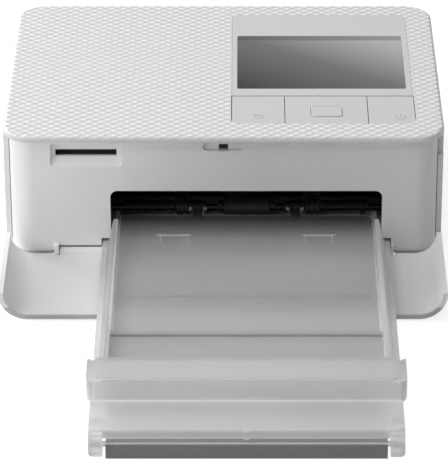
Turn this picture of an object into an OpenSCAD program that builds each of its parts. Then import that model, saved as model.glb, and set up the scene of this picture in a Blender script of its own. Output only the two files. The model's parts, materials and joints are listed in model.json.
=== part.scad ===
// Compact photo printer with its front door down and its paper cassette pushed in.
// X runs across the printer, the front faces -Y, and the table is z = 0.
// Inside each module, Y is measured from the middle of the printer's body.

/* [Body] */
// Width of the printer's body
body_w = 182.2; // [176:0.2:190]
// Depth of the body, front rim to back
body_d = 133; // [129:0.5:140]
// Height of the body above the table
body_h = 57.6; // [57:0.2:62]
// Corner radius of the body seen from above
corner_r = 12; // [9:0.5:14]
// Thickness of the outer mouldings
wall = 2.2; // [1.8:0.1:2.6]
// Height of the top cover's rim
rim_h = 2.3; // [2:0.1:2.6]
// Rounding of the top cover's upper edge
rim_round = 1.6; // [0.8:0.1:1.9]
// How far the front panel sits behind the rim
front_inset = 2.5; // [2.3:0.1:2.8]
// Height of the lower edge of the casing
case_z = 3.8; // [3.6:0.1:4.2]
// Height of the rubber feet
foot_h = 1.8; // [1.4:0.1:2]
// Radius of a rubber foot
foot_r = 6; // [4:0.5:8]
// Thickness of the floor plate
floor_t = 1.6; // [1.2:0.1:1.8]

/* [Control panel] */
// Left edge of the control panel
panel_x = 3.4; // [2:0.2:6]
// Width of the control panel
panel_w = 76; // [74.5:0.5:77]
// Depth of the control panel, keys included
panel_d = 108.6; // [107:0.2:110]
// Distance from the control panel's front edge to the middle of the body
panel_front = 53.2; // [52.4:0.2:54]
// Depth of the row of keys
key_row_d = 26.6; // [25:0.2:27]
// Width of the left key
left_key_w = 22; // [20:0.5:23]
// Width of the middle key
nav_key_w = 34.6; // [30:0.5:36]
// Width of the screen's window
screen_w = 71; // [68:0.5:71.5]
// Height of the screen's window
screen_d = 53.2; // [50:0.5:54]
// Distance from the screen's window to the panel's left edge
screen_in = 2.3; // [2:0.1:2.8]
// Distance from the screen's window to the row of keys
screen_gap = 6.7; // [6:0.1:8]
// Gap round the keys
panel_gap = 0.3; // [0.2:0.05:0.4]
// Corner radius of the control panel
panel_r = 3.5; // [2:0.5:5]
// Width of the round-cornered middle button
ok_w = 12.8; // [10:0.2:15]
// Depth of the middle button
ok_d = 9.8; // [8:0.2:11]
// Travel of the keys
key_travel = 0.5; // [0.3:0.05:0.6]

/* [Front door] */
// Length of the door from its hinge to its free edge
door_len = 51.6; // [50:0.1:51.8]
// Thickness of the door
door_t = 2; // [1.6:0.1:2]
// Gap between the door's side and the rim's side
door_side_gap = 0.6; // [0.4:0.1:1]
// Depth of the door's curved side returns
door_return = 10.3; // [9.8:0.1:10.6]
// Height of the door's hinge axis
hinge_z = 3.4; // [3.3:0.1:3.5]
// Half the width of the door's hinge beam
beam_half = 68.2; // [67:0.2:69]
// Radius of the hinge beam
beam_r = 2.4; // [2.2:0.1:2.5]
// Radius of the hinge pins
door_pin_r = 1.2; // [1:0.1:1.4]
// Angle by which the open door dips below level
door_dip = 1.2; // [0.8:0.1:1.2]

/* [Cassette bay] */
// Middle of the cassette and of the paper path, from the body's middle
bay_x = 9.4; // [8:0.2:10]
// Width of the bay's upper opening
bay_w = 112.6; // [112:0.2:114]
// Height of the bay's upper edge
bay_top = 31.8; // [30.5:0.1:32.4]
// Height at which the bay widens for the cassette's flanges
bay_step_z = 9.7; // [9.4:0.1:10.2]
// Corner radius of the bay
bay_r = 3; // [2:0.5:5]

/* [Card slot] */
// Middle of the card slot, from the body's middle
card_x = -56.6; // [-58:0.2:-55]
// Width of the card slot
card_w = 25.2; // [24.6:0.2:26]
// Height of the slot's lower edge
card_z = 47.1; // [46.8:0.1:47.4]
// Height of the slot
card_slot_h = 3; // [2.6:0.1:3]
// Width of the recess round the slot
card_recess_w = 29.4; // [28:0.2:30]
// Depth of the recess round the slot
card_recess_d = 2; // [1.6:0.1:2.4]

/* [Paper cassette] */
// Width across the cassette's flanges
tray_w = 119.6; // [119:0.2:120.2]
// Width across the cassette's walls
tray_wall_w = 109; // [108.6:0.2:110.2]
// Thickness of the cassette's walls
tray_t = 1.4; // [1:0.1:1.6]
// Height of the cassette's underside
tray_z = 7; // [6.8:0.1:7.2]
// Height of the paper space
paper_space_h = 6.6; // [6.2:0.1:6.8]
// Distance from the bay's face to the cassette's inner end
tray_in = 37; // [35:0.5:38]
// Distance from the bay's face to the cassette's front wall
tray_out = 126; // [125:0.5:128]
// Width of the inner lid
lid_w = 105.4; // [105:0.2:105.6]
// Thickness of the inner lid
lid_t = 1.2; // [1:0.1:1.4]
// Distance the inner lid reaches behind the bay's face
lid_in = 8.8; // [8:0.2:9.4]
// Distance the inner lid reaches in front of the bay's face
lid_out = 90.5; // [88:0.5:92]
// Thickness of the outer cover
cover_t = 1.6; // [1.2:0.1:1.6]
// Height of the outer cover's top
cover_z = 22; // [21:0.5:23]
// Width across the outer cover's front band
band_w = 122; // [121.6:0.2:123]
// Distance from the bay's face to the front band
band_out = 135.2; // [134:0.2:137]
// Height of the front band
band_h = 10; // [9.5:0.5:10.5]
// Length of the band's side ears
ear_len = 17; // [16.5:0.5:20]
// Distance from the bay's face to the cassette's foremost edge
tray_reach = 157.9; // [156:0.5:159]
// Width of one hinge arm
arm_t = 5.2; // [4.6:0.1:5.4]
// Radius of the cover's hinge pins
cover_pin_r = 1.1; // [0.9:0.1:1.2]

/* [Mechanism] */
// Height of the paper's path through the printer
paper_z = 18.7; // [18.6:0.1:18.9]
// Radius of the pick-up roller
pickup_r = 3.8; // [3.6:0.1:4]
// Width of the pick-up roller
pickup_w = 18.9; // [16:0.2:19]
// Radius of the capstan and pinch rollers
capstan_r = 4; // [3.6:0.1:4.1]
// Radius of the platen roller
platen_r = 7; // [6.6:0.1:7.2]
// Length of the rollers, a little wider than the paper
roller_len = 104; // [102:0.5:105]
// Width of the widest paper
paper_w = 100; // [98:1:102]
// Radius of the roller shafts
shaft_r = 2.5; // [2:0.1:2.7]
// Thickness of the chassis plates
chassis_t = 1.5; // [1.2:0.1:1.6]
// Radial clearance of a shaft in its hole
fit = 0.05; // [0.03:0.01:0.08]
// Module of the gears' teeth
gear_m = 0.8; // [0.78:0.01:0.82]
// Face width of one gear
gear_t = 3; // [2.4:0.1:3.2]

/* [Ink cassette] */
// Radius of the supply tube
supply_tube_r = 13; // [12.6:0.1:13.2]
// Radius of the take-up tube
takeup_tube_r = 11.5; // [11:0.1:11.7]
// Thickness of the tubes
tube_t = 1.2; // [1:0.1:1.4]

/* [Hidden] */
$fn = 64;

// Colours of the mouldings and parts
white_shell = [0.93, 0.93, 0.92];
smooth_white = [0.9, 0.9, 0.89];
frosted = [0.72, 0.72, 0.72];
dark_plastic = [0.08, 0.08, 0.085];
dark_rubber = [0.12, 0.12, 0.12];
steel = [0.62, 0.63, 0.65];
board_green = [0.1, 0.32, 0.2];

// Places of the body's faces, from the body's middle
face_y = -(body_d / 2 - front_inset);
back_y = body_d / 2;
rim_z = body_h - rim_h;
side_x = body_w / 2;
wing_y = face_y + corner_r - front_inset;
floor_z = foot_h + floor_t;
seat = 0.3;
// The whole object, cassette included, is centred on the origin
arm_r = 4.9;
axis_z = arm_r + 0.6;
axis_y = face_y - tray_reach + 2.4;
body_y = (arm_r - axis_y - back_y) / 2;

// Front door
hinge_y = face_y - 0.8;
lug_t = 2;
lug_x = beam_half + 0.5;
door_gap_z = hinge_z + beam_r + 0.5;

// Control panel
panel_y = -panel_front;
panel_t = 1.8;
key_drop = 0.3;
key_z = body_h - key_drop;
keys_back = panel_y + key_row_d;
screen_y = keys_back + screen_gap;
ok_x = panel_x + left_key_w + (nav_key_w - ok_w) / 2;
ok_y = panel_y + 7;

// Cassette bay and paper cassette
bay_low_w = tray_w + 1;
tray_floor = tray_z + tray_t;
tray_top = tray_floor + paper_space_h - 0.2;
tray_back = face_y + tray_in;
tray_front = face_y - tray_out;
flange_t = 1.4;
lid_z = tray_top;
lid_back = face_y + lid_in;
lid_front = face_y - lid_out;
cover_back = face_y - 2.5;
band_y = face_y - band_out;
front_y = face_y - tray_reach;
terrace_z = cover_z - band_h;
apron_top = 7;
apron_t = 2;
rail_z = 20;
rail_in = lid_w / 2 + 0.5;
shelf_z = lid_z + lid_t;
shelf_y = lid_front - 0.9;
riser_y = band_y + 15.7;
arm_w = tray_w - 1;
lip_z = apron_top + 1.4;

// Rollers
pickup_y = face_y + 18.6;
pickup_z = tray_top - 0.2;
pickup_shaft_r = 1.5;
capstan_y = face_y + 46;
capstan_z = paper_z - 0.1 - capstan_r;
pinch_z = paper_z + 0.4 + capstan_r;
platen_y = face_y + 70;
platen_z = paper_z - 0.1 - platen_r;

// Chassis plates stand just outside the cassette's flanges
chassis_in = tray_w / 2 + 2.1;
left_x = bay_x - chassis_in;
right_x = bay_x + chassis_in;
chassis_front = face_y + 7;
chassis_back = back_y - 10.5;
chassis_step = face_y + 28;

// Gears: numbers of teeth, centres and angles of the first teeth
capstan_n = 24;
idler_n = 20;
pickup_n = 22;
reduction_n = 32;
takeup_n = 20;
pinion_n = 12;
function centre_distance(n1, n2) = gear_m * (n1 + n2) / 2;
function heading(a, b) = atan2(b.y - a.y, b.x - a.x);
function third_point(a, b, ra, rb) =
    let (d = norm(b - a), u = (b - a) / d, along = (ra * ra - rb * rb + d * d) / (2 * d))
    a + along * u + sqrt(ra * ra - along * along) * [-u.y, u.x];
function polar(from, angle, d) = from + d * [cos(angle), sin(angle)];
capstan_c = [capstan_y, capstan_z];
pickup_c = [pickup_y, pickup_z];
idler_c = third_point(
    pickup_c, capstan_c, centre_distance(pickup_n, idler_n), centre_distance(capstan_n, idler_n)
);
reduction_c = polar(capstan_c, 60, centre_distance(capstan_n, reduction_n));
pinion_c = polar(reduction_c, 20, centre_distance(reduction_n, pinion_n));
takeup_c = polar(reduction_c, 166, centre_distance(reduction_n, takeup_n));
function mate_phase(phase, n, angle, mate_n) =
    angle + 180 + (angle - phase) * n / mate_n + 180 / mate_n;
capstan_phase = 0;
idler_phase = mate_phase(capstan_phase, capstan_n, heading(capstan_c, idler_c), idler_n);
pickup_phase = mate_phase(idler_phase, idler_n, heading(idler_c, pickup_c), pickup_n);
reduction_phase = mate_phase(capstan_phase, capstan_n, 60, reduction_n);
pinion_phase = mate_phase(reduction_phase, reduction_n, 20, pinion_n);
takeup_phase = mate_phase(reduction_phase, reduction_n, 166, takeup_n);
gear_gap = 0.5;
near_gear_x = left_x - chassis_t - gear_gap - gear_t;
far_gear_x = near_gear_x - gear_gap - gear_t;

// Ink cassette
supply_c = [platen_y + 27, 38.3];
tube_len = 2 * (chassis_in - 5.9);
tube_x = bay_x - tube_len / 2;
head_axis = [platen_y + 10.8, 30];

// Ink cassette door on the right side
ink_door_y = supply_c.x - 9;
ink_door_z = 8;
ink_door_top = rim_z - 0.4;
ink_axis_x = side_x - 1.6;
ink_knuckle_r = 1.6;
ink_gap = 0.4;

// Place pieces in the body's frame, and turn a YZ profile so that it runs along X
module in_body() translate([0, body_y, 0]) children();
module along_x(x0, x1) translate([x0, 0, 0]) rotate([90, 0, 90]) linear_extrude(x1 - x0) children();
module block(low, high) translate(low) cube(high - low);
module rod(x0, x1, c, r) translate([x0, c.x, c.y]) rotate([0, 90, 0]) cylinder(h = x1 - x0, r = r);
module tube_rod(x0, x1, c, r, hole) difference() {
    rod(x0, x1, c, r);
    rod(x0 - 1, x1 + 1, c, hole);
}

// Flat shape with four round corners, its lower left corner at [x, y]
module round_box(x, y, w, d, r) {
    translate([x + r, y]) square([w - 2 * r, d]);
    translate([x, y + r]) square([w, d - 2 * r]);
    for (cx = [x + r, x + w - r], cy = [y + r, y + d - r]) translate([cx, cy]) circle(r);
}

// Outline of the body seen from above, drawn in by a distance
module body_outline(inset = 0) round_box(
    -side_x + inset, -back_y + inset, body_w - 2 * inset, body_d - 2 * inset, corner_r - inset
);

// Profile of a slab whose upper edges are rounded
module soft_profile(w, h, e) {
    translate([-w / 2, 0]) square([w, h - e]);
    translate([-w / 2 + e, 0]) square([w - 2 * e, h]);
    for (s = [-1, 1]) intersection() {
        translate([s * (w / 2 - e), h - e]) circle(e);
        translate([-w / 2, 0]) square([w, h]);
    }
}

// Slab with round corners in plan and a rounded upper edge
module soft_slab(w, d, r, h, e) {
    translate([-w / 2 + r, 0, 0]) rotate([90, 0, 90]) linear_extrude(w - 2 * r) soft_profile(d, h, e);
    translate([0, d / 2 - r, 0]) rotate([90, 0, 0]) linear_extrude(d - 2 * r) soft_profile(w, h, e);
    for (cx = [-1, 1], cy = [-1, 1]) translate([cx * (w / 2 - r), cy * (d / 2 - r), 0])
        rotate_extrude() intersection() {
            soft_profile(2 * r, h, e);
            square([r, h]);
        }
}

// Spur gear with involute flanks, in the YZ plane, its first tooth at the angle phase
function involute(rb, t) = rb * [cos(t) + t * PI / 180 * sin(t), sin(t) - t * PI / 180 * cos(t)];
function turn(p, a) = [p.x * cos(a) - p.y * sin(a), p.x * sin(a) + p.y * cos(a)];
function roll_at(rb, r) = sqrt(max(0, r * r / (rb * rb) - 1)) * 180 / PI;
function flank_angle(rb, r) = let (t = roll_at(rb, r)) t - atan(t * PI / 180);
module gear_2d(n, phase, bore) {
    pitch = gear_m * n / 2;
    rb = pitch * cos(20);
    tip = pitch + 0.95 * gear_m;
    root = pitch - 1.2 * gear_m;
    slack = 0.08 / pitch * 180 / PI;
    half = 90 / n - slack + flank_angle(rb, pitch);
    start = max(rb, root);
    radii = [for (k = [0:4]) start + (tip - start) * k / 4];
    flank = [for (r = radii) turn(involute(rb, roll_at(rb, r)), -half)];
    foot = turn([root - 0.3, 0], -half);
    tooth = concat([foot], flank);
    other = [for (k = [len(tooth) - 1:-1:0]) [tooth[k].x, -tooth[k].y]];
    difference() {
        union() {
            circle(root);
            for (k = [0:n - 1]) rotate(phase + 360 * k / n) polygon(concat(tooth, other));
        }
        circle(bore);
    }
}
module gear(x0, x1, c, n, phase, bore) along_x(x0, x1) translate(c) gear_2d(n, phase, bore);

// Top cover: a shell with a rounded rim and a cut-out for the control panel
module top_cover() color(white_shell) in_body() difference() {
    translate([0, 0, rim_z]) soft_slab(body_w, body_d, corner_r, rim_h, rim_round);
    translate([0, 0, rim_z - 1]) linear_extrude(rim_h + 1 - 1.8) body_outline(front_inset + wall);
    translate([0, 0, rim_z - 1]) linear_extrude(rim_h + 2) {
        intersection() {
            round_box(
                panel_x - panel_gap, panel_y - panel_gap, panel_w + 2 * panel_gap, panel_d,
                panel_r + panel_gap
            );
            translate([0, panel_y - 1]) square([side_x, key_row_d + 1]);
        }
        round_box(
            panel_x - 0.1, keys_back - 8, panel_w + 0.2, panel_d - key_row_d + 8.1, panel_r + 0.1
        );
    }
}
module panel_outline(y0, y1) intersection() {
    round_box(panel_x, panel_y, panel_w, panel_d, panel_r);
    translate([0, y0]) square([side_x, y1 - y0]);
}

// Control panel with the window for the screen
module control_panel() color(smooth_white) in_body() {
    difference() {
        translate([0, 0, body_h - panel_t]) linear_extrude(panel_t) panel_outline(keys_back, back_y);
        translate([0, 0, body_h - panel_t - 1]) linear_extrude(panel_t + 2) round_box(
            panel_x + screen_in - 0.1, screen_y - 0.1, screen_w + 0.2, screen_d + 0.2, 0.9
        );
    }
    for (x = [panel_x + 1, panel_x + panel_w - 3], y = [keys_back + 2, keys_back + 70])
        translate([x, y, lcd_z]) cube([2, 2.8, body_h - panel_t - lcd_z]);
}
lcd_z = 52.2;

module lcd_window() color([0.05, 0.05, 0.06]) in_body()
    translate([0, 0, body_h - 1.2]) linear_extrude(1.2)
        round_box(panel_x + screen_in, screen_y, screen_w, screen_d, 0.8);

module lcd_module() color([0.16, 0.16, 0.18]) in_body() {
    x0 = panel_x + screen_in;
    translate([0, 0, body_h - 1.5]) linear_extrude(0.3) round_box(x0, screen_y, screen_w, screen_d, 0.8);
    block(
        [x0 - 0.6, screen_y - 1.5, lcd_z + 0.4],
        [x0 + screen_w + 0.2, screen_y + screen_d + 1.5, body_h - 2.1]
    );
    block([x0 + 1, screen_y + 1, body_h - 2.2], [x0 + screen_w - 1, screen_y + screen_d - 1, body_h - 1.4]);
}

// Board under the keys, with one push switch under each key
switch_z = 53.2;
module panel_board() color(board_green) in_body() {
    block([panel_x + 0.6, panel_y + 1, lcd_z], [panel_x + panel_w - 0.6, keys_back - 1, switch_z]);
    for (x = key_middles) {
        block([x - 3, panel_y + 17, switch_z], [x + 3, panel_y + 23, switch_z + 0.6]);
        translate([x, panel_y + 20, switch_z + 0.6]) cylinder(h = 0.5, r = 1.6);
    }
    translate([ok_x + ok_w / 2, ok_y + ok_d / 2, switch_z]) cylinder(h = 1.1, r = 1.6);
}
key_middles = [
    panel_x + left_key_w / 2, panel_x + left_key_w + nav_key_w / 2,
    panel_x + (left_key_w + nav_key_w + panel_w) / 2
];

// A key: a plate with a tongue below the panel's edge and a stem that reaches its switch
module key_plate(x0, x1, stem_x) {
    translate([0, 0, key_z - 1.4]) linear_extrude(1.4) intersection() {
        panel_outline(panel_y, keys_back - key_gap);
        translate([x0, panel_y]) square([x1 - x0, key_row_d]);
    }
    block([x0 + 1, keys_back - 2, key_z - 2.3], [x1 - 1, keys_back - key_gap, key_z - 1]);
    block([x0 + 1, keys_back - 2, key_z - 2.3], [x1 - 1, keys_back + 1.2, key_z - 1.7]);
    translate([stem_x, panel_y + 20, switch_z + 1.1 + key_travel])
        cylinder(h = key_z - 1 - switch_z - 1.1 - key_travel, r = 1.8);
}
key_gap = 0.2;
module menu_key() color(smooth_white) in_body()
    key_plate(panel_x, panel_x + left_key_w - panel_gap / 2, key_middles[0]);
module power_key() color(smooth_white) in_body()
    key_plate(panel_x + left_key_w + nav_key_w + panel_gap / 2, panel_x + panel_w, key_middles[2]);
module nav_key() color(smooth_white) in_body() difference() {
    key_plate(
        panel_x + left_key_w + panel_gap / 2, panel_x + left_key_w + nav_key_w - panel_gap / 2,
        key_middles[1]
    );
    translate([0, 0, key_z - 3]) linear_extrude(4)
        round_box(ok_x - 0.2, ok_y - 0.2, ok_w + 0.4, ok_d + 0.4, 1.4);
}
module ok_button() color(smooth_white) in_body() {
    translate([0, 0, key_z - 1.6]) linear_extrude(1.6 + key_drop) round_box(ok_x, ok_y, ok_w, ok_d, 1.2);
    translate([ok_x + ok_w / 2, ok_y + ok_d / 2, switch_z + 1.1 + key_travel])
        cylinder(h = key_z - 1 - switch_z - 1.1 - key_travel, r = 1.8);
}

// Shape of the bay, cut through the front
module bay_2d() {
    low = case_z - 3;
    intersection() {
        round_box(bay_x - bay_w / 2, low, bay_w, bay_top - low, bay_r);
        translate([bay_x - bay_w / 2 - 1, low]) square([bay_w + 2, bay_top]);
    }
    translate([bay_x - bay_low_w / 2, low]) square([bay_low_w, bay_step_z - low]);
}

// Recess with a sloping floor that guides a card into its slot
recess_back = face_y + card_recess_d;
module card_recess() intersection() {
    along_x(card_x - card_recess_w, card_x + card_recess_w) polygon([
        [face_y - 1, card_z - 6.3], [recess_back, card_z - 0.2], [recess_back, card_z + card_slot_h + 3],
        [face_y - 1, card_z + card_slot_h + 3.9]
    ]);
    translate([0, recess_back + 1, 0]) rotate([90, 0, 0]) linear_extrude(8) round_box(
        card_x - card_recess_w / 2, card_z - 4.3, card_recess_w, card_slot_h + 7.9, 1.5
    );
}

// Height of the door's latch hole
latch_z = 51.6;

// Front panel with the cassette bay, the card recess and the latch recess
module front_panel() color(white_shell) in_body() difference() {
    union() {
        translate([0, 0, case_z]) linear_extrude(rim_z - case_z) intersection() {
            difference() {
                body_outline(front_inset);
                body_outline(front_inset + wall);
            }
            translate([-side_x, -back_y]) square([body_w, wing_y + 2.5 + back_y]);
        }
        block(
            [card_x - card_recess_w / 2 - 1.2, face_y + 1, card_z - 5.4],
            [card_x + card_recess_w / 2 + 1.2, recess_back + 1.4, card_z + card_slot_h + 4.6]
        );
        for (s = [-1, 1]) hinge_lug(s);
    }
    translate([0, face_y + wall + 3, 0]) rotate([90, 0, 0]) linear_extrude(wall + 8) bay_2d();
    block([-lug_x, face_y - 4, 0], [lug_x, face_y + wall + 3, door_gap_z]);
    card_recess();
    block(
        [card_x - card_w / 2, face_y + 1, card_z],
        [card_x + card_w / 2, recess_back + 4, card_z + card_slot_h]
    );
    translate([0, face_y + 1.2, 0]) rotate([90, 0, 0]) linear_extrude(3)
        round_box(-8.5, latch_z - 1.1, 17.3, 3.4, 1.69);
    block([-1.9, face_y - 1, latch_z - 1.4], [1.9, face_y + wall + 1, latch_z + 1.3]);
    // The front edge of the ink door has a finger notch, dark behind
    block([side_x - 8, wing_y - 1.4, rim_z - 11.3], [side_x, wing_y + 3, rim_z + 1]);
    rod(-lug_x - lug_t - 1, lug_x + lug_t + 1, [hinge_y, hinge_z], door_pin_r + fit);
}
module hinge_lug(s) {
    x0 = s > 0 ? lug_x : -lug_x - lug_t;
    rod(x0, x0 + lug_t, [hinge_y, hinge_z], beam_r);
    block([x0, hinge_y - beam_r, hinge_z], [x0 + lug_t, face_y + wall, door_gap_z + 1.2]);
}

// Door leaf drawn upright on its hinge axis, then laid down in front of the printer
module door_plan() {
    w = body_w - 2 * door_side_gap;
    r = corner_r - door_side_gap;
    out_y = face_y - front_inset + 0 - hinge_y;
    intersection() {
        difference() {
            round_box(-w / 2, out_y, w, 60, r);
            round_box(-w / 2 + door_t, out_y + door_t, w - 2 * door_t, 60, r - door_t);
        }
        translate([-w, out_y - 1]) square([2 * w, door_return - out_y + 1]);
    }
}
hook_z = latch_z - hinge_z - 0.8;
module front_door() color(white_shell) in_body()
    translate([0, hinge_y, hinge_z]) rotate([90 + door_dip, 0, 0]) {
        out_y = face_y - front_inset - hinge_y;
        difference() {
            translate([0, 0, 1.2]) linear_extrude(door_len - 1.2) door_plan();
            for (s = [-1, 1]) block(
                [s * (lug_x + lug_t / 2) - lug_t / 2 - 0.4, -5, 0],
                [s * (lug_x + lug_t / 2) + lug_t / 2 + 0.4, 5, beam_r + 0.4]
            );
        }
        rod(-beam_half, beam_half, [0, 0], beam_r);
        block([-beam_half, out_y, 0], [beam_half, out_y + door_t, 1.3]);
        rod(-lug_x - lug_t + 0.2, lug_x + lug_t - 0.2, [0, 0], door_pin_r);
        along_x(-1.5, 1.5) polygon([
            [0, hook_z], [2.4, hook_z + 0.5], [2.4, hook_z - 0.6], [3.1, hook_z - 0.2], [3.1, hook_z + 1.3],
            [0, hook_z + 1.7]
        ]);
    }

// Side and rear covers
module ring_2d() difference() {
    body_outline();
    body_outline(wall);
}
module left_cover() color(white_shell) in_body() translate([0, 0, case_z])
    linear_extrude(rim_z - case_z) intersection() {
        ring_2d();
        translate([-side_x - 1, wing_y]) square([10, back_y - corner_r - wing_y]);
    }
module rear_cover() color(white_shell) in_body() difference() {
    translate([0, 0, case_z]) linear_extrude(rim_z - case_z) intersection() {
        ring_2d();
        translate([-side_x - 1, back_y - corner_r + seat]) square([body_w + 2, corner_r]);
    }
    rear_y = back_y - wall - 1;
    block(
        [bay_x - roller_len / 2 - 1, rear_y, paper_z - 2.9],
        [bay_x + roller_len / 2 + 1, back_y + 1, paper_z + 2.9]
    );
    for (k = [0:7], row = [0, 1])
        block(
            [fan_c.x - 16 + 4 * k, rear_y, 30 + 9 * row], [fan_c.x - 14 + 4 * k, back_y + 1, 37 + 9 * row]
        );
    translate([jack_x, back_y + 1, jack_z]) rotate([90, 0, 0]) cylinder(h = wall + 3, r = 3.4);
    translate([0, back_y + 1, 0]) rotate([90, 0, 0]) linear_extrude(wall + 3)
        round_box(usb_x - 4.8, jack_z - 1.9, 9.6, 3.8, 1.8);
}
jack_x = -side_x + 28.6;
jack_z = 12;
usb_x = -side_x + 16.1;

// The right side is the ink door, with a narrow frame below and behind it
module right_cover() color(white_shell) in_body() difference() {
    union() {
        translate([0, 0, case_z]) linear_extrude(rim_z - case_z) intersection() {
            ring_2d();
            translate([side_x - 9, wing_y]) square([10, back_y - corner_r - wing_y]);
        }
        for (z = ink_lugs)
            block([side_x - 3.8, ink_door_y + 1, z], [side_x - wall / 2, ink_door_y + 5, z + 2.4]);
    }
    block([side_x - 8, wing_y - 1, ink_door_z - ink_gap], [side_x + 1, ink_door_y + 2, rim_z + 1]);
    for (z = ink_lugs) rod_z([ink_axis_x, ink_door_y], z - 1, z + 4, 0.8 + fit);
}
ink_lugs = [ink_door_z + 0.4, ink_door_top - 3.2];
module rod_z(c, z0, z1, r) translate([c.x, c.y, z0]) cylinder(h = z1 - z0, r = r);
module ink_lug(z) difference() {
    union() {
        rod_z([ink_axis_x, ink_door_y], z, z + 2.4, ink_knuckle_r);
        block([side_x - 3.2, ink_door_y, z], [side_x, ink_door_y + 2.1, z + 2.4]);
    }
    rod_z([ink_axis_x, ink_door_y], z - 1, z + 4, 0.8 + fit);
}
module ink_door() color(white_shell) in_body() {
    low = ink_lugs[0] + 2.4 + 0.3;
    high = ink_lugs[1] - 0.3;
    difference() {
        block([side_x - wall, wing_y + 0.2, ink_door_z], [side_x, ink_door_y - 2.2, ink_door_top]);
        block([side_x - wall - 1, wing_y, rim_z - 11.3], [side_x + 1, wing_y + 1.9, rim_z]);
    }
    block([side_x - wall, ink_door_y - 2.3, low], [side_x, ink_door_y, high]);
    rod_z([ink_axis_x, ink_door_y], low, high, ink_knuckle_r);
    rod_z([ink_axis_x, ink_door_y], low - 2, high + 2, 0.8);
}

// Floor plate, feet and screws
module base_plate() color(dark_plastic) in_body() difference() {
    union() {
        translate([0, 0, foot_h]) linear_extrude(floor_t) difference() {
            body_outline(front_inset + 0.6);
            translate([-lug_x - 2.8, -back_y]) square([2 * lug_x + 5.6, back_y + face_y + wall - 0.1]);
        }
        for (x = screw_x, y = screw_y) translate([x, y, floor_z - 0.1]) cylinder(h = 4, r = 3);
    }
    for (x = screw_x, y = screw_y) translate([x, y, foot_h - 1]) cylinder(h = 8, r = 1.3);
    for (k = [0:6], x = -side_x + 11.1 + 4 * k)
        block([x, back_y - 46.5, 0], [x + 2, back_y - 26.5, floor_z + 1]);
}
screw_x = [-side_x + 11.1, side_x - 11.1];
screw_y = [face_y + 20, back_y - 18.5];
module feet() color(dark_rubber) in_body()
    for (x = [-side_x + 25.1, side_x - 25.1], y = [face_y + 18, back_y - 16.5])
        translate([x, y, 0]) cylinder(h = foot_h, r = foot_r);
module base_screws() color(steel) in_body() for (x = screw_x, y = screw_y) translate([x, y, 0]) {
    translate([0, 0, foot_h - 1.2]) cylinder(h = 1.2, r = 2.2);
    translate([0, 0, foot_h]) cylinder(h = 5, r = 1.25);
}

// Card socket behind the card recess
module card_socket() color(steel) in_body() difference() {
    block(
        [card_x - card_w / 2 - 1.6, recess_back + 1.5, card_z - 1.4],
        [card_x + card_w / 2 + 1.6, chassis_step - 1.3, card_z + card_slot_h + 1.2]
    );
    block(
        [card_x - card_w / 2, recess_back, card_z],
        [card_x + card_w / 2, chassis_step - 2.5, card_z + card_slot_h]
    );
}

// Spring clip that holds the door's hook behind the front panel
module latch_spring() color(steel) in_body() {
    low = latch_z - 3.6;
    high = latch_z + 2.6;
    block([-4, face_y + wall, low], [4, face_y + wall + 0.6, low + 1.8]);
    block([-4, face_y + wall, high - 0.9], [4, face_y + wall + 0.6, high]);
    block([-4, face_y + wall + 3, low], [4, face_y + wall + 3.6, high]);
    for (z = [low, high - 0.6]) block([-4, face_y + wall, z], [4, face_y + wall + 3.6, z + 0.6]);
}

// Chassis plates carry every shaft
module chassis_plate(x0) {
    difference() {
        along_x(x0, x0 + chassis_t) polygon([
            [chassis_front, floor_z], [chassis_back, floor_z], [chassis_back, 50], [chassis_back - 6, 51.8],
            [chassis_step + 2, 51.8], [chassis_step, 44], [chassis_front, 40]
        ]);
        for (h = shaft_holes) rod(x0 - 1, x0 + chassis_t + 1, h[0], h[1] + fit);
        block([x0 - 1, platen_y + 18, 8], [x0 + chassis_t + 1, chassis_back - 6, 22]);
    }
}
shaft_holes = [
    [pickup_c, pickup_shaft_r], [capstan_c, shaft_r], [[capstan_y, pinch_z], 1.5],
    [[platen_y, platen_z], shaft_r],
    [head_axis, 2]
];
module chassis_left() color(dark_plastic) in_body() difference() {
    chassis_plate(left_x - chassis_t);
    for (c = [takeup_c, supply_c]) rod(left_x - chassis_t - 1, left_x + 1, c, 1.5 + fit);
}
module chassis_right() color(dark_plastic) in_body() difference() {
    chassis_plate(right_x);
    rod(right_x - 1, right_x + 3, supply_c, supply_tube_r + 0.6);
    rod(right_x - 1, right_x + 3, takeup_c, takeup_tube_r + 0.6);
    block([right_x - 1, chassis_step - 1, 42], [right_x + 3, supply_c.x, 60]);
}
module chassis_bars() color(dark_plastic) in_body() {
    block([left_x, chassis_back - 4, 26], [right_x, chassis_back - 2.5, 46]);
    block([left_x, chassis_front, 34], [right_x, chassis_front + 1.5, 40]);
    block([left_x, chassis_front, 38.5], [right_x, chassis_front + 11, 40]);
}

// Rails that carry the paper cassette by its flanges
module tray_guides() color(dark_plastic) in_body() for (s = [-1, 1]) {
    far = s * chassis_in;
    near = s * (tray_w / 2 - 1.6);
    web = s * (tray_w / 2 + 0.4);
    along_guide() polygon([
        [far, floor_z], [near, floor_z], [near, tray_z - 0.3], [web, tray_z - 0.3],
        [web, tray_z + flange_t + 0.3], [near, tray_z + flange_t + 0.3], [near, tray_z + flange_t + 1.6],
        [far, tray_z + flange_t + 1.6]
    ]);
}
module along_guide() translate([bay_x, tray_back, 0]) rotate([90, 0, 0])
    linear_extrude(tray_back - face_y - 6) children();

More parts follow.
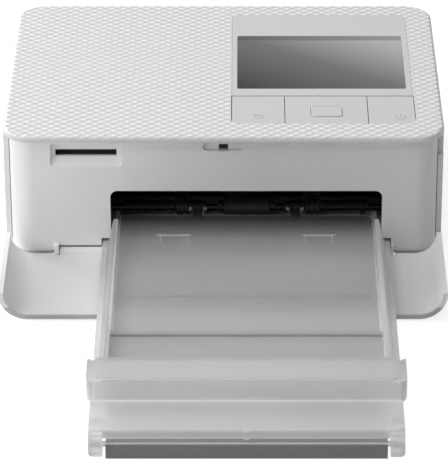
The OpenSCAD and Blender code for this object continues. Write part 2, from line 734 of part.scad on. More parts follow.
// Paper guide with notches round the rollers and the lid's tongues
guide_front = face_y + 14;
guide_z = lid_z + lid_t + 1.2;
module feed_guide() color(dark_plastic) in_body() difference() {
    union() {
        block([left_x, guide_front, guide_z], [right_x, guide_front + 20, guide_z + 1.2]);
        block([left_x, guide_front + 4, guide_z], [right_x, guide_front + 5.5, guide_z + 2.4]);
    }
    for (n = guide_notches)
        block([bay_x + n[0], guide_front - 1, 0], [bay_x + n[1], guide_front + n[2], 40]);
    for (s = [-1, 1], x = bay_x + s * (chassis_in - 3.9))
        block([x - 7, guide_front - 1, 0], [x + 7, guide_front + 3, 40]);
}
// Each notch: from, to, depth
guide_notches = [
    [-30, -24.2, 12], [-17.3, -11.8, 3], [-pickup_w / 2 - 0.6, pickup_w / 2 + 0.6, 14], [11.8, 16.3, 3],
    [24.2, 31.2, 12]
];

// Pick-up shaft with its rubber roller and two ribbed guide rollers
module pickup_shaft() color(dark_plastic) in_body()
    rod(near_gear_x - 0.5, right_x + chassis_t + 0.6, pickup_c, pickup_shaft_r);
module pickup_roller() color(dark_rubber) in_body()
    tube_rod(bay_x - pickup_w / 2, bay_x + pickup_w / 2, pickup_c, pickup_r, pickup_shaft_r);
module guide_rollers() color([0.2, 0.2, 0.2]) in_body() for (g = [[-29.4, 4.6], [24.8, 5.8]]) {
    x = bay_x + g[0];
    tube_rod(x, x + g[1], pickup_c, pickup_r - 0.8, pickup_shaft_r);
    for (k = [0:2]) tube_rod(
        x + k * (g[1] - 1) / 2, x + k * (g[1] - 1) / 2 + 1, pickup_c, pickup_r - 0.1, pickup_shaft_r
    );
}
module pickup_gear() color([0.85, 0.85, 0.83]) in_body()
    gear(near_gear_x, near_gear_x + gear_t, pickup_c, pickup_n, pickup_phase, pickup_shaft_r);

// Capstan, pinch and platen rollers
module roller(c, r, stub, x0, x1) {
    rod(bay_x - roller_len / 2, bay_x + roller_len / 2, c, r);
    rod(x0, x1, c, stub);
}
module capstan_roller() color(steel) in_body()
    roller(capstan_c, capstan_r, shaft_r, near_gear_x - 0.5, right_x + chassis_t + 0.6);
module capstan_gear() color([0.85, 0.85, 0.83]) in_body()
    gear(near_gear_x, near_gear_x + gear_t, capstan_c, capstan_n, capstan_phase, shaft_r);
module pinch_roller() color(dark_rubber) in_body()
    roller([capstan_y, pinch_z], capstan_r, 1.5, left_x - chassis_t - 0.3, right_x + chassis_t + 0.6);
module platen_roller() color(dark_rubber) in_body()
    roller([platen_y, platen_z], platen_r, shaft_r, left_x - chassis_t - 0.3, right_x + chassis_t + 0.6);

// Thermal head on two arms that pivot on a cross shaft
head_x0 = bay_x - roller_len / 2;
head_x1 = bay_x + roller_len / 2;
module head_heatsink() color([0.75, 0.76, 0.78]) in_body() difference() {
    block([head_x0, platen_y - 6, paper_z + 3.3], [head_x1, platen_y + 6.4, 39]);
    for (y = [-4, -1, 2]) block([head_x0 - 1, platen_y + y, 28], [head_x1 + 1, platen_y + y + 1.6, 40]);
}
module heater_bar() color([0.85, 0.83, 0.76]) in_body() {
    block([head_x0 + 1, platen_y - 3, paper_z + 1.8], [head_x1 - 1, platen_y + 3, paper_z + 3.3]);
    along_x(head_x0 + 1, head_x1 - 1) intersection() {
        translate([platen_y, paper_z + 3.2]) circle(2.4);
        translate([platen_y - 3, paper_z]) square([6, 2]);
    }
}
module head_arms() color(steel) in_body() for (x = [head_x0 - 1.6, head_x1]) difference() {
    along_x(x, x + 1.6) union() {
        polygon([
            [platen_y - 6, 23], [platen_y + 6, 23], [head_axis.x + 2, 27], [head_axis.x + 2.6, 32],
            [platen_y + 6, 38], [platen_y - 6, 38]
        ]);
        translate(head_axis) circle(2.8);
    }
    rod(x - 1, x + 3, head_axis, 2 + fit);
}
module head_shaft() color(steel) in_body()
    rod(left_x - chassis_t, right_x + chassis_t, head_axis, 2);

// Gears on studs outside the left chassis plate
module idler_gear() color([0.85, 0.85, 0.83]) in_body()
    gear(near_gear_x, near_gear_x + gear_t, idler_c, idler_n, idler_phase, 1.5 + fit);
module reduction_gear() color([0.85, 0.85, 0.83]) in_body()
    gear(far_gear_x, near_gear_x + gear_t, reduction_c, reduction_n, reduction_phase, 1.5 + fit);
module gear_studs() color(steel) in_body() {
    rod(near_gear_x - 0.4, left_x - chassis_t, idler_c, 1.5);
    rod(far_gear_x - 0.6, left_x - chassis_t, reduction_c, 1.5);
}
bracket_x = far_gear_x - 2.2;
board_x = -side_x + wall + 2;
module feed_motor() color([0.7, 0.7, 0.72]) in_body() {
    rod(board_x + 6.7, bracket_x, pinion_c, 11);
    rod(bracket_x, bracket_x + 1.2, pinion_c, 3);
}
module motor_bracket() color(steel) in_body() difference() {
    union() {
        block([bracket_x, pinion_c.x - 13, floor_z], [bracket_x + 1.2, pinion_c.x + 13, 51]);
        block([bracket_x, pinion_c.x - 13, floor_z], [left_x - chassis_t, pinion_c.x + 13, floor_z + 1.2]);
    }
    rod(bracket_x - 1, bracket_x + 3, pinion_c, 3 + fit);
    rod(bracket_x - 1, bracket_x + 3, reduction_c, 3);
}
module motor_pinion() color([0.8, 0.65, 0.3]) in_body() {
    gear(far_gear_x, near_gear_x, pinion_c, pinion_n, pinion_phase, 0.8);
    rod(bracket_x + 1.5, near_gear_x, pinion_c, 1);
}
module takeup_gear() color([0.85, 0.85, 0.83]) in_body() {
    gear(far_gear_x, far_gear_x + gear_t, takeup_c, takeup_n, takeup_phase, 1.3);
    rod(far_gear_x, tube_x + 1, takeup_c, 1.5);
}

// Ink cassette: two tubes joined by end bridges, with the head's space between them
module ink_tube(c, r, mouth) difference() {
    rod(tube_x, tube_x + tube_len, c, r);
    rod(tube_x + 1.5, tube_x + tube_len - 1.5, c, r - tube_t);
    rod(tube_x - 1, tube_x + 3, c, 5.4);
    block([tube_x + 4, c.x + min(mouth, 0), 10], [tube_x + tube_len - 4, c.x + max(mouth, 0), c.y]);
}
module ink_cassette() color([0.3, 0.3, 0.32]) in_body() {
    ink_tube(supply_c, supply_tube_r, -supply_tube_r);
    ink_tube(takeup_c, takeup_tube_r, takeup_tube_r);
    for (x = [tube_x, tube_x + tube_len - 2])
        difference() {
            block([x, takeup_c.x, 43.5], [x + 2, supply_c.x, 49]);
            rod(x - 1, x + 3, supply_c, supply_tube_r - tube_t);
            rod(x - 1, x + 3, takeup_c, takeup_tube_r - tube_t);
        }
    difference() {
        block([tube_x + tube_len, takeup_c.x + 6, 44], [side_x - wall - 1.6, supply_c.x - 6, 49]);
        block([tube_x + tube_len + 3, takeup_c.x + 8, 45.5], [side_x, supply_c.x - 8, 50]);
    }
}
module spool(c, core, wound) {
    rod(tube_x + 1.8, tube_x + tube_len - 1.8, c, core);
    rod(bay_x - paper_w / 2, bay_x + paper_w / 2, c, wound);
}
module supply_spool() color([0.15, 0.2, 0.45]) in_body() {
    spool(supply_c, 5, 10);
    rod(left_x - chassis_t - 0.5, tube_x + 2, supply_c, 1.5);
}
module takeup_spool() color([0.2, 0.15, 0.3]) in_body() difference() {
    spool(takeup_c, 4.6, 6.5);
    rod(tube_x - 1, tube_x + 1 + fit, takeup_c, 1.5);
}
ribbon_t = 0.2;
module ink_ribbon() color([0.5, 0.15, 0.3]) in_body()
    along_x(bay_x - paper_w / 2, bay_x + paper_w / 2) {
        low = paper_z + 0.35;
        a = [supply_c.x - 8.4, supply_c.y - 6.2];
        b = [platen_y + 6, low];
        c = [platen_y - 3, low];
        d = [takeup_c.x + 6.2, takeup_c.y - 3];
        up = [0, ribbon_t];
        polygon([a, b, c, d, d + up, c + up, b + up, a + up]);
    }

// Electronics
module main_board() color(board_green) in_body() {
    front = face_y + 36;
    rear = back_y - 20.5;
    block([board_x, front, 8], [board_x + 1.6, rear, 50]);
    block([board_x + 1.6, front + 18, 30], [board_x + 3, front + 32, 44]);
    block([board_x + 1.6, rear - 16, 14], [board_x + 6, rear - 6, 20]);
    for (y = [front + 4, rear - 4], z = [10, 46]) rod(board_x - 2, board_x, [y, z], 1.8);
}
module dc_jack() color(dark_plastic) in_body() difference() {
    union() {
        translate([jack_x, back_y - wall + 0.6, jack_z]) rotate([90, 0, 0]) cylinder(h = 12, r = 3.3);
        block([jack_x - 4.5, back_y - 14, floor_z], [jack_x + 4.5, back_y - wall - 0.3, jack_z + 4.5]);
    }
    translate([jack_x, back_y + 1, jack_z]) rotate([90, 0, 0]) difference() {
        cylinder(h = 11, r = 2.75);
        cylinder(h = 11, r = 0.8);
    }
}
module usb_socket() color(steel) in_body() difference() {
    union() {
        translate([0, back_y - 0.4, 0]) rotate([90, 0, 0]) linear_extrude(8)
            round_box(usb_x - 4.5, jack_z - 1.6, 9, 3.2, 1.5);
        block([usb_x - 5, back_y - 9, floor_z], [usb_x + 5, back_y - wall - 0.3, jack_z - 1]);
    }
    translate([0, back_y + 1, 0]) rotate([90, 0, 0]) linear_extrude(7)
        round_box(usb_x - 4.1, jack_z - 1.2, 8.2, 2.4, 1.1);
}
fan_c = [-side_x + 33.1, 38];
fan_y = back_y - wall - 0.6;
module cooling_fan() color(dark_plastic) in_body() {
    translate([fan_c.x, fan_y, fan_c.y]) rotate([90, 0, 0]) difference() {
        linear_extrude(7) round_box(-14, -14, 28, 28, 2);
        translate([0, 0, 1.4]) cylinder(h = 7, r = 13);
        translate([0, 0, -1]) difference() {
            cylinder(h = 5, r = 12.4);
            cylinder(h = 5, r = 4.6);
            for (a = [0:90:270]) rotate(a) translate([0, -0.7, 0]) cube([14, 1.4, 5]);
        }
    }
    block([fan_c.x - 12, fan_y - 7, floor_z], [fan_c.x - 10, fan_y - 4, fan_c.y - 13.9]);
    block([fan_c.x + 10, fan_y - 7, floor_z], [fan_c.x + 12, fan_y - 4, fan_c.y - 13.9]);
}
module fan_rotor() color([0.15, 0.15, 0.16]) in_body()
    translate([fan_c.x, fan_y, fan_c.y]) rotate([90, 0, 0]) translate([0, 0, 1.8]) {
        cylinder(h = 4.8, r = 5);
        for (k = [0:6]) rotate(360 / 7 * k) translate([4, 0, 0.4]) rotate([32, 0, 0])
            translate([0, -0.4, 0.6]) cube([8.2, 0.8, 3.4]);
    }

// Paper cassette: a flanged tray with a thin front floor that ends in an apron
module cassette_base() color(frosted) in_body() difference() {
    union() {
        block([bay_x - tray_w / 2, tray_front, tray_z], [bay_x + tray_w / 2, tray_back, tray_floor]);
        difference() {
            translate([0, 0, tray_z]) linear_extrude(tray_top - tray_z) round_box(
                bay_x - tray_wall_w / 2, tray_front, tray_wall_w, tray_back - tray_front, 4
            );
            translate([0, 0, tray_floor]) linear_extrude(20) round_box(
                bay_x - tray_wall_w / 2 + tray_t, tray_front + tray_t, tray_wall_w - 2 * tray_t,
                tray_back - tray_front - 2 * tray_t, 2.6
            );
        }
        along_x(bay_x - apron_half, bay_x + apron_half) polygon([
            [tray_front + 1, tray_z], [tray_front + 1, tray_floor], [tray_front - 3, tray_floor],
            [tray_front - 6, apron_top], [front_y + 0.8, apron_top], [front_y, apron_top - 0.5],
            [front_y, 0.5], [front_y + apron_t, 0.5],
            [front_y + apron_t, apron_top - 1.4], [tray_front - 6, apron_top - 1.4]
        ]);
        for (s = [-1, 1]) block(
            [bay_x + s * (apron_half - 2) - 2, axis_y - 2.4, axis_z - 3.4],
            [bay_x + s * (apron_half - 2) + 2, axis_y + 4, apron_top]
        );
    }
    for (s = [-1, 1]) rod(
        bay_x + s * (apron_half - 2) - 3, bay_x + s * (apron_half - 2) + 3, [axis_y, axis_z], cover_pin_r
    );
    // The inner end is low, so that it passes below the pick-up shaft and its rollers
    block([bay_x - tray_w, pickup_y - 4, tray_floor + 1.2], [bay_x + tray_w, tray_back + 1, 40]);
    block([bay_x - 36, tray_back - 3, tray_floor + 1], [bay_x + 36, tray_back + 1, 40]);
    for (x = [-20, 20]) translate([bay_x + x, spring_y, tray_floor - 0.4]) cylinder(h = 2, r = 4.2);
}
apron_half = arm_w / 2 - arm_t - 1.2;

// Inner lid: a thin plate with two tongues that reach into the printer
module inner_lid() color(frosted) in_body() {
    difference() {
        translate([0, 0, lid_z]) linear_extrude(lid_t) {
            round_box(bay_x - lid_w / 2, lid_front, lid_w, lid_back - lid_front, 3.5);
            for (x = [-20.4, 20.4]) {
                translate([bay_x + x - 2.5, lid_back - 1]) square([5, 8.5]);
                translate([bay_x + x - 3.7, pickup_y - 3.4]) square([7.4, 1.5]);
            }
        }
        for (x = [-1, 1]) finger_mark(bay_x + 29.9 * x, lid_back - 17.5);
        block(
            [bay_x - lid_w / 2 + 3, lid_back - 69.8, lid_z + lid_t - 0.4],
            [bay_x + lid_w / 2 - 3, lid_back - 69.2, lid_z + lid_t + 1]
        );
    }
    for (s = [-1, 1]) rod(
        bay_x + s * (lid_w / 2 - 1.5) - 1.4, bay_x + s * (lid_w / 2 - 1.5) + 1.4,
        [lid_front + 3, lid_z - 0.1], 1.1
    );
}

// Shallow mark for a finger: straight behind, round in front and deepest behind
module finger_mark(x, y) {
    intersection() {
        translate([x, y, lid_z + lid_t - 0.7]) rotate([3, 0, 180]) translate([-10, 0, 0])
            cube([20, 20, 6]);
        translate([0, 0, lid_z]) linear_extrude(6) intersection() {
            round_box(x - 5.5, y - 10.5, 11, 21, 5.4);
            translate([x - 7, y - 12]) square([14, 12]);
        }
    }
    block([x - 7, y - 0.5, lid_z + lid_t - 0.3], [x + 7, y, lid_z + lid_t + 1]);
}

// Plate that springs lift to press the paper against the pick-up roller
lift_y0 = tray_front + 77;
spring_y = tray_back - 25;
lift_z = tray_floor + 0.3;
lift_t = 0.8;
module lift_plate() color(dark_plastic) in_body() {
    difference() {
        block([bay_x - 48, lift_y0, lift_z], [bay_x + 48, tray_back - tray_t - 0.6, lift_z + lift_t]);
        for (s = [-1, 1])
            block([bay_x + s * 44 - 6, lift_y0 + 30, 0], [bay_x + s * 44 + 6, tray_back - 20, 20]);
    }
    rod(bay_x - 48, bay_x + 48, [lift_y0, tray_floor + 0.8], 0.7);
}
module lift_springs() color(steel) in_body() for (x = [-20, 20])
    translate([bay_x + x, spring_y, tray_floor - 0.4]) difference() {
        cylinder(h = 0.7, r = 3.8);
        translate([0, 0, -1]) cylinder(h = 3, r = 3);
    }
module separation_pad() color([0.5, 0.42, 0.3]) in_body()
    block([bay_x - 8, pickup_y - 5, lift_z + lift_t], [bay_x + 8, pickup_y + 5, lift_z + lift_t + 0.4]);

// Outer cover: two rails, a sunken shelf, a raised front band, a terrace and two hinge arms
module outer_cover() color(frosted) in_body() difference() {
    union() {
        for (s = [-1, 1]) cover_rail(s);
        cover_shelf();
        cover_band();
        cover_terrace();
        for (s = [-1, 1]) cover_arm(s);
    }
    // The pins' holes are blind, so that nothing shows on the outside of the arms
    rod(bay_x - arm_w / 2 + 0.6, bay_x - arm_w / 2 + arm_t + 1, [axis_y, axis_z], cover_pin_r + fit);
    rod(bay_x + arm_w / 2 - arm_t - 1, bay_x + arm_w / 2 - 0.6, [axis_y, axis_z], cover_pin_r + fit);
}
module cover_rail(s) translate([bay_x, cover_back, 0]) rotate([90, 0, 0])
    linear_extrude(cover_back - riser_y + 1) polygon([
        [s * rail_in, rail_z - cover_t], [s * rail_in, rail_z], [s * (tray_wall_w / 2 + 0.4), rail_z],
        [s * (tray_wall_w / 2 + 3.1), tray_floor + 0.4], [s * (tray_wall_w / 2 + 1.6), tray_floor + 0.4],
        [s * (tray_wall_w / 2 - 0.4), rail_z - cover_t]
    ]);
module cover_shelf() {
    low = tray_top + 0.3;
    difference() {
        block([bay_x - rail_in - 1, riser_y - 1.4, low], [bay_x + rail_in + 1, shelf_y, rail_z]);
        translate([0, 0, shelf_z]) linear_extrude(20)
            round_box(bay_x - rail_in, riser_y, 2 * rail_in, 60, 4);
    }
    block([bay_x - rail_in - 0.5, shelf_y - 2.3, low], [bay_x + rail_in + 0.5, shelf_y, shelf_z + 1.5]);
}
module cover_band() difference() {
    union() {
        translate([0, 0, terrace_z - 0.6]) linear_extrude(band_h - 0.8) intersection() {
            round_box(bay_x - band_w / 2, band_y, band_w, 60, 4);
            translate([bay_x - band_w, band_y - 1]) square([2 * band_w, ear_len + 1]);
        }
        translate([0, 0, cover_z - 2]) linear_extrude(2) intersection() {
            round_box(bay_x - band_w / 2 + 3.5, band_y, band_w - 7, 60, 3);
            translate([bay_x - band_w, band_y - 1]) square([2 * band_w, riser_y - band_y + 1]);
        }
    }
    inside = band_w / 2 - cover_t;
    block([bay_x - inside, band_y + cover_t, 0], [bay_x + inside, riser_y - 1.4, cover_z - 2.8]);
    block(
        [bay_x - inside + 3.4, band_y + cover_t, 0], [bay_x + inside - 3.4, riser_y - 1.4, cover_z - 1.4]
    );
    block([bay_x - inside, riser_y, 0], [bay_x + inside, band_y + 40, cover_z - 1.4]);
    block(
        [bay_x - tray_wall_w / 2 - 1.5, riser_y - 2, 0],
        [bay_x + tray_wall_w / 2 + 1.5, riser_y + 1, tray_top + 0.3]
    );
}
module cover_terrace() difference() {
    translate([0, 0, lip_z]) linear_extrude(terrace_z + 0.2 - lip_z)
        round_box(bay_x - arm_w / 2, front_y + 1.5, arm_w, band_y - front_y + 0.5, 3);
    block(
        [bay_x - arm_w / 2 + 1.6, front_y + 3.1, 0], [bay_x + arm_w / 2 - 1.6, band_y + 3, terrace_z - 1.2]
    );
}
module cover_arm(s) intersection() {
    x0 = bay_x + s * (arm_w / 2 - arm_t / 2) - arm_t / 2;
    along_x(x0, x0 + arm_t) {
        translate([axis_y, axis_z]) circle(arm_r);
        translate([axis_y - 2.4, axis_z]) square([11, terrace_z - 0.8 - axis_z]);
    }
    translate([bay_x, axis_y + 20, axis_z - arm_r]) rotate([90, 0, 0]) linear_extrude(40) round_box(
        s > 0 ? 0 : -arm_w / 2, 0, arm_w / 2, 20, arm_t - 1
    );
}
module cover_pins() color(steel) in_body() for (s = [-1, 1])
    translate([bay_x + s * (apron_half / 2 + arm_w / 4 - 1.9), 0, 0])
        rod(apron_half / 2 - arm_w / 4 - 1.1, arm_w / 4 - apron_half / 2 + 1.1, [axis_y, axis_z], cover_pin_r);

top_cover();
control_panel();
lcd_window();
lcd_module();
panel_board();
menu_key();
nav_key();
ok_button();
power_key();
front_panel();
left_cover();
right_cover();
rear_cover();
base_plate();
feet();
base_screws();
card_socket();
latch_spring();
front_door();
ink_door();
chassis_left();
chassis_right();
chassis_bars();
tray_guides();
feed_guide();
pickup_shaft();
pickup_roller();
guide_rollers();
pickup_gear();
capstan_roller();
capstan_gear();
pinch_roller();
platen_roller();
head_heatsink();
heater_bar();
head_arms();
head_shaft();
idler_gear();
reduction_gear();
gear_studs();
feed_motor();
motor_bracket();
motor_pinion();
takeup_gear();
ink_cassette();
supply_spool();
takeup_spool();
ink_ribbon();
main_board();
dc_jack();
usb_socket();
cooling_fan();
fan_rotor();
cassette_base();
inner_lid();
lift_plate();
lift_springs();
separation_pad();
outer_cover();
cover_pins();
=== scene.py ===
import bpy
import bmesh
import json
import math
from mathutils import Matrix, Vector


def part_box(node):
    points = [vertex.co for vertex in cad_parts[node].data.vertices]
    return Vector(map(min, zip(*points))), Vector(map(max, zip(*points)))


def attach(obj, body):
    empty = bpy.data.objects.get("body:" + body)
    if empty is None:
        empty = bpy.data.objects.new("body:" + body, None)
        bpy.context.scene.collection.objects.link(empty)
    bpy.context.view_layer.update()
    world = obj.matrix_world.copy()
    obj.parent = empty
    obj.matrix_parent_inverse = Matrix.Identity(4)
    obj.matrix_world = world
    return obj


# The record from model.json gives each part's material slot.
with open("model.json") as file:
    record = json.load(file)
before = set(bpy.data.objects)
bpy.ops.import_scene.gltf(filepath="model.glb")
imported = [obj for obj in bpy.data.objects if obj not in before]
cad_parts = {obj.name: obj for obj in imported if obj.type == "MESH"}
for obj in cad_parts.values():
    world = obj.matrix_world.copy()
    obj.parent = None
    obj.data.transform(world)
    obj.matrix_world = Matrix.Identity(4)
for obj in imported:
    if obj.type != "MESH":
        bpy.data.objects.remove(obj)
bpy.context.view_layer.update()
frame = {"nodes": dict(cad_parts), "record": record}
nodes = frame["nodes"]
scene = bpy.context.scene

# The middle of the printer's body lies this far behind the row's origin, in metres.
BODY_Y = (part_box("rear_cover")[1][1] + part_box("top_cover")[0][1]) / 2


def mm(x, y, z):
    """A point given in millimetres from the middle of the body's footprint."""
    return Vector((x / 1000, y / 1000 + BODY_Y, z / 1000))


def add_object(name, mesh):
    """A new object in the scene with the shape of a bmesh, which is freed."""
    data = bpy.data.meshes.new(name)
    mesh.to_mesh(data)
    mesh.free()
    obj = bpy.data.objects.new(name, data)
    scene.collection.objects.link(obj)
    return obj


# Camera

# Focal length, picture size and the picture's centre line in pixels, and the tilt in degrees
FOCAL = 3222.262
FRAME_WIDTH = 448
FRAME_HEIGHT = 461
CENTRE_X = 242.802
TILT = 28.033
SENSOR = 36

camera = bpy.data.objects.new("camera", bpy.data.cameras.new("camera"))
scene.collection.objects.link(camera)
scene.camera = camera
camera.data.sensor_width = SENSOR
camera.data.lens = FOCAL / FRAME_HEIGHT * SENSOR
camera.data.shift_x = -(CENTRE_X - FRAME_WIDTH / 2) / FRAME_HEIGHT
camera.data.shift_y = 0
camera.data.clip_start = 0.1
camera.data.clip_end = 50
camera.location = mm(7.965, -1247.509, 643.441)
camera.rotation_euler = (math.radians(90 - TILT), 0, 0)


# Materials

# Scale of the fine grain on moulded plastic
GRAIN = 2600
# The relief's diamonds, as radians per metre along X and Y, and their height in metres
RELIEF_X = 2 * math.pi * 192.9
RELIEF_Y = 2 * math.pi * 236.8
RELIEF_H = 0.0006
# Grey levels of the screen's painted reflection at its front left, its middle and its back right
SCREEN_REFLECTION = (0.0, 0.15, 0.58)


class Shader:
    """A material's nodes, with short calls for the ones used here."""

    def __init__(self, name):
        self.material = bpy.data.materials.new(name)
        self.material.use_nodes = True
        self.tree = self.material.node_tree
        self.bsdf = self.tree.nodes["Principled BSDF"]
        self.out = self.tree.nodes["Material Output"]
        self.coords = self.add("ShaderNodeTexCoord").outputs["Object"]

    def add(self, kind, **values):
        node = self.tree.nodes.new(kind)
        for key, value in values.items():
            setattr(node, key, value)
        return node

    def link(self, a, b):
        self.tree.links.new(a, b)

    def set(self, **values):
        for key, value in values.items():
            self.bsdf.inputs[key.replace("_", " ")].default_value = value

    def math(self, operation, a, b=None, c=None):
        node = self.add("ShaderNodeMath", operation=operation)
        for socket, value in zip(node.inputs, (a, b, c)):
            if value is None:
                continue
            if isinstance(value, (int, float)):
                socket.default_value = value
            else:
                self.link(value, socket)
        return node.outputs[0]

    def axes(self):
        node = self.add("ShaderNodeSeparateXYZ")
        self.link(self.coords, node.inputs[0])
        return node.outputs

    def noise(self, scale, detail=2.0, rough=0.5):
        node = self.add("ShaderNodeTexNoise")
        self.link(self.coords, node.inputs["Vector"])
        node.inputs["Scale"].default_value = scale
        node.inputs["Detail"].default_value = detail
        node.inputs["Roughness"].default_value = rough
        return node.outputs["Fac"]

    def ramp(self, fac, stops):
        node = self.add("ShaderNodeValToRGB")
        self.link(fac, node.inputs[0])
        elements = node.color_ramp.elements
        while len(elements) < len(stops):
            elements.new(0.5)
        for element, (pos, colour) in zip(elements, stops):
            element.position = pos
            if isinstance(colour, (int, float)):
                colour = (colour, colour, colour)
            element.color = (*colour, 1)
        return node.outputs[0]

    def drift(self, axis, stops):
        """A factor that follows stops along one axis: pairs of a place in millimetres and a level."""
        far, near = stops[0][0], stops[-1][0]
        shift = BODY_Y if axis == 1 else 0
        along = self.add("ShaderNodeMapRange")
        self.link(self.axes()[axis], along.inputs[0])
        along.inputs[1].default_value = far / 1000 + shift
        along.inputs[2].default_value = near / 1000 + shift
        return self.ramp(along.outputs[0], [((at - far) / (near - far), level) for at, level in stops])

    def span(self, value, low, high, soft=0.0001):
        """1 where the value lies between low and high, 0 outside, with soft ends."""
        rise = self.add("ShaderNodeMapRange")
        fall = self.add("ShaderNodeMapRange")
        for node, a, b in ((rise, low - soft, low + soft), (fall, high + soft, high - soft)):
            self.link(value, node.inputs[0])
            node.inputs[1].default_value = a
            node.inputs[2].default_value = b
        return self.math("MULTIPLY", rise.outputs[0], fall.outputs[0])

    def inside(self, box):
        """1 inside a box in millimetres, Y from the middle of the body, and 0 outside."""
        x, y, z = self.axes()
        x0, x1, y0, y1, z0, z1 = (v / 1000 for v in box)
        level = self.math("MULTIPLY", self.span(x, x0, x1), self.span(z, z0, z1, 0.00003))
        return self.math("MULTIPLY", level, self.span(y, y0 + BODY_Y, y1 + BODY_Y))

    def scaled(self, colour, factor):
        node = self.add("ShaderNodeVectorMath", operation="SCALE")
        self.link(colour, node.inputs[0])
        self.link(factor, node.inputs["Scale"])
        return node.outputs[0]

    def edge(self, radius, gain):
        """1 along sharp edges and 0 on flat faces, from normals rounded over the radius."""
        bevel = self.add("ShaderNodeBevel", samples=6)
        bevel.inputs["Radius"].default_value = radius
        plain = self.add("ShaderNodeNewGeometry")
        dot = self.add("ShaderNodeVectorMath", operation="DOT_PRODUCT")
        self.link(bevel.outputs[0], dot.inputs[0])
        self.link(plain.outputs["Normal"], dot.inputs[1])
        off = self.math("SUBTRACT", 1.0, self.math("ABSOLUTE", dot.outputs["Value"]))
        return self.math("MINIMUM", self.math("MULTIPLY", off, gain), 1.0)

    def mix(self, fac, a, b):
        """Colour a where the factor is 0 and colour b where it is 1."""
        node = self.add("ShaderNodeMix", data_type="RGBA")
        self.link(fac, node.inputs[0])
        for socket, value in ((node.inputs[6], a), (node.inputs[7], b)):
            if isinstance(value, tuple):
                socket.default_value = (*value, 1)
            else:
                self.link(value, socket)
        return node.outputs[2]

    def bump(self, height, distance, strength=1.0):
        node = self.add("ShaderNodeBump")
        node.inputs["Strength"].default_value = strength
        node.inputs["Distance"].default_value = distance
        self.link(height, node.inputs["Height"])
        self.link(node.outputs[0], self.bsdf.inputs["Normal"])
        return node


def plastic(name, colour, rough=0.45, depth=0.00003, mottle=0.04):
    """Moulded plastic with a fine spark-eroded grain and slight variation in its gloss and colour."""
    s = Shader(name)
    s.set(Roughness=rough, IOR=1.49)
    cloud = s.noise(45, 3)
    dark = tuple(c * (1 - mottle) for c in colour)
    s.link(s.ramp(cloud, [(0.35, dark), (0.65, colour)]), s.bsdf.inputs["Base Color"])
    s.link(s.ramp(s.noise(GRAIN, 1), [(0.3, rough - 0.06), (0.7, rough + 0.06)]), s.bsdf.inputs["Roughness"])
    s.bump(s.noise(GRAIN, 2, 0.6), depth, 0.5)
    return s.material


def white_with_painted_shading(name, axis, low, high, first, last, rough=0.46, zones=(), across=(), rims=()):
    """Moulded white plastic with painted shading that drifts along one axis from low to high, in
    millimetres.

    Each zone is a box with a factor of painted light and shade for the colour, and each rim a box
    with one for its edges. Other sharp edges carry a painted highlight. Across gives painted
    shading levels along X.
    """
    s = Shader(name)
    s.set(IOR=1.49)
    at = s.add("ShaderNodeMapRange")
    s.link(s.axes()[axis], at.inputs[0])
    at.inputs[1].default_value = low / 1000 + (BODY_Y if axis == 1 else 0)
    at.inputs[2].default_value = high / 1000 + (BODY_Y if axis == 1 else 0)
    tint = s.mix(at.outputs[0], first, last)
    for box, shade in zones:
        tint = s.scaled(tint, s.math("MULTIPLY_ADD", s.inside(box), shade - 1, 1.0))
    # Painted shading along X
    if across:
        tint = s.scaled(tint, s.drift(0, across))
    # Painted highlight along sharp edges
    tint = s.mix(s.math("MULTIPLY", s.edge(0.0003, 8.0), 0.5), tint, (0.93, 0.93, 0.93))
    # Painted shade on the edges of each rim
    for box, shade in rims:
        rim = s.math("MULTIPLY", s.inside(box), s.edge(0.0006, 6.0))
        tint = s.scaled(tint, s.math("MULTIPLY_ADD", rim, shade - 1, 1.0))
    s.link(tint, s.bsdf.inputs["Base Color"])
    s.link(s.ramp(s.noise(GRAIN, 1), [(0.3, rough - 0.06), (0.7, rough + 0.06)]), s.bsdf.inputs["Roughness"])
    s.bump(s.noise(GRAIN, 2, 0.6), 0.00003, 0.5)
    return s.material


def metal(name, colour, rough):
    """Drawn or turned metal with fine marks along one direction."""
    s = Shader(name)
    s.set(Metallic=1.0)
    mapping = s.add("ShaderNodeMapping")
    mapping.inputs["Scale"].default_value = (1, 60, 60)
    s.link(s.coords, mapping.inputs[0])
    noise = s.add("ShaderNodeTexNoise")
    noise.inputs["Scale"].default_value = 120
    noise.inputs["Detail"].default_value = 3
    s.link(mapping.outputs[0], noise.inputs["Vector"])
    dark = tuple(c * 0.82 for c in colour)
    s.link(s.ramp(noise.outputs["Fac"], [(0.3, dark), (0.7, colour)]), s.bsdf.inputs["Base Color"])
    s.link(s.ramp(noise.outputs["Fac"], [(0.3, rough + 0.1), (0.7, rough)]), s.bsdf.inputs["Roughness"])
    s.bump(noise.outputs["Fac"], 0.00002, 0.3)
    return s.material


